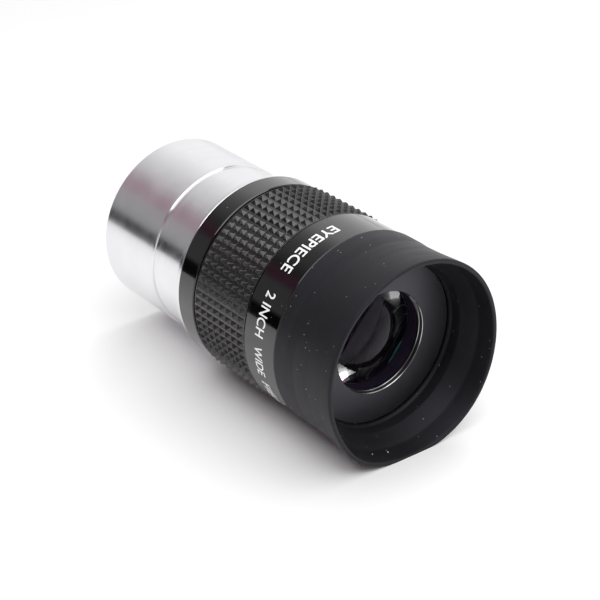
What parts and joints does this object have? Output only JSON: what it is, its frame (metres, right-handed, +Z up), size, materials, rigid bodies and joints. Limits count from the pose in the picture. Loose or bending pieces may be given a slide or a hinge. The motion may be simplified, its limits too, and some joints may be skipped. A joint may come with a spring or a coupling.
{
  "type": "telescope eyepiece",
  "caption": "Two-inch wide-field telescope eyepiece with a chromed nosepiece, rubber grip band, multi-element lens stack and soft fold-down rubber eyecup.",
  "frame": {"origin": "centre of the nosepiece's open end, on the optical axis", "axes": "+X along the optical axis toward the observer's eye, +Z up with the eyepiece lying on its side on the grip band and the eyecup's rim"},
  "size_m": [0.108, 0.058, 0.0573],
  "materials": {
    "bright_metal": "satin chromed, finely turned",
    "gloss_black": "gloss black anodised",
    "black_metal": "matte black anodised",
    "plate_black": "satin black, finely turned",
    "black_plastic": "matte",
    "grip_rubber": "moulded pyramid texture, satin",
    "cup_rubber": "matte",
    "lens_glass": "coated, polished"
  },
  "bodies": {
    "housing": {"lower_housing": "gloss_black", "grip_sleeve": "grip_rubber", "housing_gasket": "cup_rubber", "upper_housing": "gloss_black", "lens_cell": "black_metal", "field_stop_ring": "black_metal", "field_retaining_ring": "black_metal", "field_lens_flint": "lens_glass", "field_lens_crown": "lens_glass", "field_spacer_ring": "black_metal", "middle_lens": "lens_glass", "eye_lens_crown": "lens_glass", "eye_lens_flint": "lens_glass", "eye_retaining_ring": "black_metal", "eye_plate": "plate_black", "eyecup_sleeve": "cup_rubber", "eyecup_skirt": "cup_rubber"},
    "thread_carrier": {"seat_washer": "black_plastic"},
    "nosepiece": {"nosepiece_barrel": "bright_metal", "barrel_baffle_ring": "black_metal"},
    "rim": {"eyecup_rim": "cup_rubber"}
  },
  "joints": [
    {"name": "nosepiece_travel", "type": "slide", "parent": "housing", "child": "thread_carrier", "axis": [-1, 0, 0], "range_m": [0, 0.005]},
    {"name": "nosepiece_turn", "type": "hinge", "parent": "thread_carrier", "child": "nosepiece", "pos_m": [0.0405, 0, 0], "axis": [-1, 0, 0], "range_deg": [0, 1800]},
    {"name": "eyecup_fold", "type": "slide", "parent": "housing", "child": "rim", "axis": [-1, 0, 0], "range_m": [0, 0.008], "deforming": ["eyecup_skirt"]}
  ],
  "couplings": [
    {"joint": "nosepiece_travel", "follows": "nosepiece_turn", "m_per_rad": 0.00015915}
  ]
}
